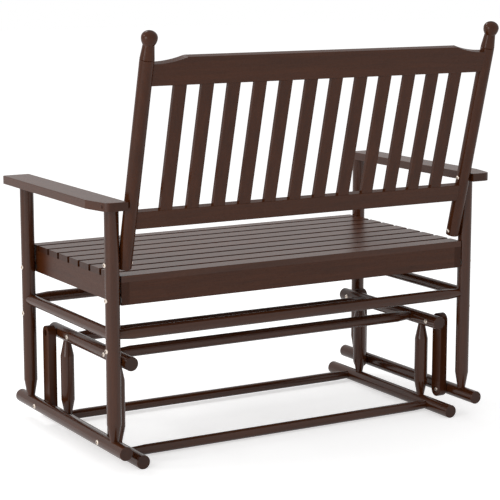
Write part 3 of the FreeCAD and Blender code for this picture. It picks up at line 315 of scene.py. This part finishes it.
def zinc_steel():
    """Bright zinc plate with fine turning marks, slight dulling and painted shade that darkens the
    sockets.
    """
    finish = bpy.context.scene.bench_finish
    material, graph = new_material("zinc_plate")
    place = graph.place()
    cloud = graph.noise(place, CLOUD_CELLS)
    marks = graph.noise(place, MARK_CELLS, detail=2.0)
    dull = graph.rise(cloud, DULL_SPAN)
    colour = graph.blend(dull, solid_colour(finish.zinc_bright), solid_colour(finish.zinc_dull))
    # Painted shade: the colour goes dark where the AO node finds the key sockets hollow, in place of
    # the shade that falls down in them
    openness = graph.node(
        "ShaderNodeAmbientOcclusion",
        {"samples": SOCKET_SHADE_SAMPLES, "only_local": True},
        {"Distance": SOCKET_SHADE_REACH},
        "AO",
    )
    socket = graph.fall(openness, SOCKET_SHADE_SPAN)
    colour = graph.blend(socket, colour, solid_colour(finish.zinc_socket_shade))
    graph.surface(
        {
            "Base Color": colour,
            "Metallic": 1.0,
            "Roughness": ZINC_ROUGHNESS + cloud * CLOUD_ROUGHNESS,
            "Normal": graph.bump(marks, *MARK_BUMP),
        }
    )
    return material


def bush_nylon():
    """Plain moulded nylon with a faint mottle."""
    finish = bpy.context.scene.bench_finish
    material, graph = new_material("bush_nylon")
    mottle = graph.noise(graph.place(), MOTTLE_CELLS)
    shade = tuple(MOTTLE_SHADE * part for part in finish.bush_colour)
    graph.surface(
        {
            "Base Color": graph.blend(mottle, solid_colour(finish.bush_colour), solid_colour(shade)),
            "Roughness": NYLON_ROUGHNESS + mottle * MOTTLE_ROUGHNESS,
            "Normal": graph.bump(mottle, *MOTTLE_BUMP),
        }
    )
    return material


def give_finish(material, families):
    """Puts a material on every CAD node whose name starts with one of the families."""
    chosen = [node for name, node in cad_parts.items() if name.startswith(families)]
    if not chosen:
        raise ValueError("no piece is named like " + ", ".join(families))
    for node in chosen:
        node.data.materials.clear()
        node.data.materials.append(material)


def finish_wood(groups, lacquer_weight, lacquer_roughness):
    """Stains and lacquers groups of wooden pieces."""
    for name, turn, families in groups:
        give_finish(stained_wood(name, turn, lacquer_weight, lacquer_roughness), families)


class BenchFinish(bpy.types.PropertyGroup):
    """Stain, lacquer, zinc plate and nylon of the bench"""

    stain_dark: bpy.props.FloatVectorProperty(
        name="Dark stain",
        description="Colour of the stain where the grain is dense",
        subtype="COLOR",
        size=3,
        min=0.0,
        max=1.0,
        default=(0.042, 0.0108, 0.0025),
    )
    stain_light: bpy.props.FloatVectorProperty(
        name="Light stain",
        description="Colour of the stain where the grain is open",
        subtype="COLOR",
        size=3,
        min=0.0,
        max=1.0,
        default=(0.076, 0.02, 0.005),
    )
    stain_pore: bpy.props.FloatVectorProperty(
        name="Pores",
        description="Colour of the stain that has gathered in the pores and cut ends",
        subtype="COLOR",
        size=3,
        min=0.0,
        max=1.0,
        default=(0.018, 0.006, 0.003),
    )
    seat_lacquer: bpy.props.FloatProperty(
        name="Seat lacquer",
        description="How strongly the lacquer of the seat slats and armrests mirrors what it faces",
        subtype="FACTOR",
        min=0.0,
        max=1.0,
        default=0.69,
    )
    seat_roughness: bpy.props.FloatProperty(
        name="Seat roughness",
        description="Roughness of the lacquer of the seat slats and armrests",
        subtype="FACTOR",
        min=0.05,
        max=1.0,
        default=0.32,
    )
    back_lacquer: bpy.props.FloatProperty(
        name="Back lacquer",
        description="How strongly the lacquer of the back posts and slats mirrors what it faces",
        subtype="FACTOR",
        min=0.0,
        max=1.0,
        default=0.46,
    )
    back_roughness: bpy.props.FloatProperty(
        name="Back roughness",
        description="Roughness of the lacquer of the back posts and slats",
        subtype="FACTOR",
        min=0.05,
        max=1.0,
        default=0.18,
    )
    board_lacquer: bpy.props.FloatProperty(
        name="Board lacquer",
        description="How strongly the lacquer of the aprons, rails and links mirrors what it faces",
        subtype="FACTOR",
        min=0.0,
        max=1.0,
        default=0.49,
    )
    board_roughness: bpy.props.FloatProperty(
        name="Board roughness",
        description="Roughness of the lacquer of the aprons, rails and links",
        subtype="FACTOR",
        min=0.05,
        max=1.0,
        default=0.28,
    )
    bar_lacquer: bpy.props.FloatProperty(
        name="Bar lacquer",
        description="How strongly the lacquer of the turned bars mirrors what it faces",
        subtype="FACTOR",
        min=0.0,
        max=1.0,
        default=0.72,
    )
    bar_roughness: bpy.props.FloatProperty(
        name="Bar roughness",
        description="Roughness of the lacquer of the turned bars",
        subtype="FACTOR",
        min=0.05,
        max=1.0,
        default=0.2,
    )
    zinc_bright: bpy.props.FloatVectorProperty(
        name="Bright zinc",
        description="Colour of clean zinc plate",
        subtype="COLOR",
        size=3,
        min=0.0,
        max=1.0,
        default=(0.72, 0.63, 0.55),
    )
    zinc_dull: bpy.props.FloatVectorProperty(
        name="Dull zinc",
        description="Colour of handled zinc plate",
        subtype="COLOR",
        size=3,
        min=0.0,
        max=1.0,
        default=(0.58, 0.51, 0.45),
    )
    # Painted shade: the colour that the hollow key sockets are darkened to, in place of the shade that
    # falls in them
    zinc_socket_shade: bpy.props.FloatVectorProperty(
        name="Sockets",
        description="Colour of the zinc down in the key sockets",
        subtype="COLOR",
        size=3,
        min=0.0,
        max=1.0,
        default=(0.5, 0.43, 0.37),
    )
    bush_colour: bpy.props.FloatVectorProperty(
        name="Bushes",
        description="Colour of the bushes in the link eyes and of the spacers behind the legs",
        subtype="COLOR",
        size=3,
        min=0.0,
        max=1.0,
        default=(0.03, 0.022, 0.017),
    )


class BenchStage(bpy.types.PropertyGroup):
    """Camera, floor and light round the bench"""

    camera_place: bpy.props.FloatVectorProperty(
        name="Camera place",
        description="Where the camera stands",
        subtype="TRANSLATION",
        unit="LENGTH",
        size=3,
        default=(2.1395, 3.6442, 1.1811),
    )
    camera_heading: bpy.props.FloatProperty(
        name="Camera heading",
        description="Turn of the camera about the upright axis",
        subtype="ANGLE",
        unit="ROTATION",
        default=math.radians(149.816),
    )
    camera_tilt: bpy.props.FloatProperty(
        name="Camera tilt",
        description="How far the camera looks down",
        subtype="ANGLE",
        unit="ROTATION",
        default=math.radians(9.951),
    )
    camera_lens: bpy.props.FloatProperty(
        name="Lens",
        description="Focal length on a sensor 36 mm wide",
        unit="CAMERA",
        min=1.0,
        default=123.24,
    )
    floor_size: bpy.props.FloatProperty(
        name="Floor size",
        description="Length of each side of the floor",
        unit="LENGTH",
        min=2.0,
        default=40.0,
    )
    floor_colour: bpy.props.FloatVectorProperty(
        name="Floor colour",
        description="Colour of the pale floor",
        subtype="COLOR",
        size=3,
        min=0.0,
        max=1.0,
        default=(0.8, 0.8, 0.8),
    )
    floor_lift: bpy.props.FloatProperty(
        name="Floor lift",
        description="Glow that turns the floor white where it is seen straight or in a gloss",
        min=0.0,
        default=0.55,
    )
    key_power: bpy.props.FloatProperty(
        name="Key light",
        description="Power of the light high on the sitter's left",
        unit="POWER",
        min=0.0,
        default=16.0,
    )
    side_power: bpy.props.FloatProperty(
        name="Side light",
        description="Power of the large low light on the sitter's left",
        unit="POWER",
        min=0.0,
        default=38.0,
    )
    top_power: bpy.props.FloatProperty(
        name="Top light",
        description="Power of the light overhead in front of the bench",
        unit="POWER",
        min=0.0,
        default=26.0,
    )
    fill_level: bpy.props.FloatProperty(
        name="Fill",
        description="Strength of the even light from all round",
        min=0.0,
        default=0.65,
    )


class BENCH_OT_finish_seat(bpy.types.Operator):
    """Stain and lacquer the seat slats and armrests"""

    bl_idname = "bench.finish_seat"
    bl_label = "Finish seat slats and armrests"

    def execute(self, context):
        finish = context.scene.bench_finish
        finish_wood(SEAT, finish.seat_lacquer, finish.seat_roughness)
        return {"FINISHED"}


class BENCH_OT_finish_back(bpy.types.Operator):
    """Stain and lacquer the back posts and slats"""

    bl_idname = "bench.finish_back"
    bl_label = "Finish back posts and slats"

    def execute(self, context):
        finish = context.scene.bench_finish
        finish_wood(BACK, finish.back_lacquer, finish.back_roughness)
        return {"FINISHED"}


class BENCH_OT_finish_boards(bpy.types.Operator):
    """Stain and lacquer the aprons, the rails of the back and the links"""

    bl_idname = "bench.finish_boards"
    bl_label = "Finish aprons, rails and links"

    def execute(self, context):
        finish = context.scene.bench_finish
        finish_wood(BOARDS, finish.board_lacquer, finish.board_roughness)
        return {"FINISHED"}


class BENCH_OT_finish_bars(bpy.types.Operator):
    """Stain and lacquer the legs, spindles, runners and stretchers"""

    bl_idname = "bench.finish_bars"
    bl_label = "Finish turned bars"

    def execute(self, context):
        finish = context.scene.bench_finish
        finish_wood(TURNED_BARS, finish.bar_lacquer, finish.bar_roughness)
        return {"FINISHED"}


class BENCH_OT_finish_hardware(bpy.types.Operator):
    """Zinc plate the bolts, nuts, screws and washers"""

    bl_idname = "bench.finish_hardware"
    bl_label = "Finish bolts and nuts"

    def execute(self, context):
        give_finish(zinc_steel(), HARDWARE)
        return {"FINISHED"}


class BENCH_OT_finish_bushes(bpy.types.Operator):
    """Finish the bushes of the links and the spacers behind the legs"""

    bl_idname = "bench.finish_bushes"
    bl_label = "Finish bushes and spacers"

    def execute(self, context):
        give_finish(bush_nylon(), BUSHES)
        return {"FINISHED"}


class BENCH_OT_set_stage(bpy.types.Operator):
    """Set the pale floor, the soft lights and the camera"""

    bl_idname = "bench.set_stage"
    bl_label = "Set the stage"

    def execute(self, context):
        stage = context.scene.bench_stage
        context.scene.view_settings.view_transform = "Standard"
        self.make_floor(context, stage)
        self.make_world(context, stage)
        for name, power, size, place in LIGHTS:
            self.make_light(context, name, getattr(stage, power), size, place)
        self.make_camera(context, stage)
        return {"FINISHED"}

    def choose(self, graph, lit, seen):
        """Keeps a shader that lights the bench apart from the one that is seen behind it."""
        camera, glossy, through = (graph.node("ShaderNodeLightPath", output=ray) for ray in DIRECT_RAYS)
        return graph.node("ShaderNodeMixShader", None, {0: camera + glossy + through, 1: lit, 2: seen})

    def make_floor(self, context, stage):
        bpy.ops.mesh.primitive_plane_add(size=stage.floor_size)
        floor = context.object
        floor.name = "studio_floor"
        material, graph = new_material("pale_floor")
        matt = graph.node("ShaderNodeBsdfDiffuse", None, {"Color": solid_colour(stage.floor_colour)})
        glow = graph.node("ShaderNodeEmission", None, {"Color": WHITE, "Strength": stage.floor_lift})
        lifted = graph.node("ShaderNodeAddShader", None, {0: matt, 1: glow})
        shown = self.choose(graph, matt, lifted)
        graph.node("ShaderNodeOutputMaterial", None, {"Surface": shown})
        floor.data.materials.append(material)

    def make_world(self, context, stage):
        world = bpy.data.worlds.new("studio")
        world.use_nodes = True
        context.scene.world = world
        graph = Graph(world.node_tree)
        fill, plain = (
            graph.node("ShaderNodeBackground", None, {"Color": WHITE, "Strength": strength})
            for strength in (stage.fill_level, WHITE_STRENGTH)
        )
        shown = self.choose(graph, fill, plain)
        graph.node("ShaderNodeOutputWorld", None, {"Surface": shown})

    def make_light(self, context, name, power, size, place):
        lamp = bpy.data.lights.new(name, "AREA")
        lamp.energy = power
        lamp.size = size
        holder = bpy.data.objects.new(name, lamp)
        holder.location = place
        aim = LIGHT_TARGET - holder.location
        holder.rotation_euler = aim.to_track_quat("-Z", "Y").to_euler()
        context.scene.collection.objects.link(holder)

    def make_camera(self, context, stage):
        lens = bpy.data.cameras.new("photo_camera")
        lens.lens = stage.camera_lens
        lens.sensor_width = SENSOR_WIDTH
        holder = bpy.data.objects.new("photo_camera", lens)
        holder.location = stage.camera_place
        holder.rotation_euler = (RIGHT_ANGLE - stage.camera_tilt, 0.0, stage.camera_heading)
        context.scene.collection.objects.link(holder)
        context.scene.camera = holder


class BENCH_PT_sidebar(bpy.types.Panel):
    """Settings and steps of the glider bench"""

    bl_idname = "BENCH_PT_sidebar"
    bl_label = "Glider bench"
    bl_space_type = "VIEW_3D"
    bl_region_type = "UI"
    bl_category = "Bench"

    def draw(self, context):
        layout = self.layout
        for group in (context.scene.bench_finish, context.scene.bench_stage):
            box = layout.box()
            for name in group.__annotations__:
                box.prop(group, name)
        for operator in OPERATORS:
            layout.operator(operator.bl_idname)


GROUPS = {"bench_finish": BenchFinish, "bench_stage": BenchStage}
OPERATORS = (
    BENCH_OT_finish_seat,
    BENCH_OT_finish_back,
    BENCH_OT_finish_boards,
    BENCH_OT_finish_bars,
    BENCH_OT_finish_hardware,
    BENCH_OT_finish_bushes,
    BENCH_OT_set_stage,
)


def register():
    for name, group in GROUPS.items():
        bpy.utils.register_class(group)
        setattr(bpy.types.Scene, name, bpy.props.PointerProperty(type=group))
    for operator in OPERATORS:
        bpy.utils.register_class(operator)
    bpy.utils.register_class(BENCH_PT_sidebar)


def unregister():
    bpy.utils.unregister_class(BENCH_PT_sidebar)
    for operator in reversed(OPERATORS):
        bpy.utils.unregister_class(operator)
    for name, group in reversed(GROUPS.items()):
        delattr(bpy.types.Scene, name)
        bpy.utils.unregister_class(group)


def main():
    register()
    bpy.ops.bench.finish_seat()
    bpy.ops.bench.finish_back()
    bpy.ops.bench.finish_boards()
    bpy.ops.bench.finish_bars()
    bpy.ops.bench.finish_hardware()
    bpy.ops.bench.finish_bushes()
    bpy.ops.bench.set_stage()


if __name__ == "__main__":
    main()
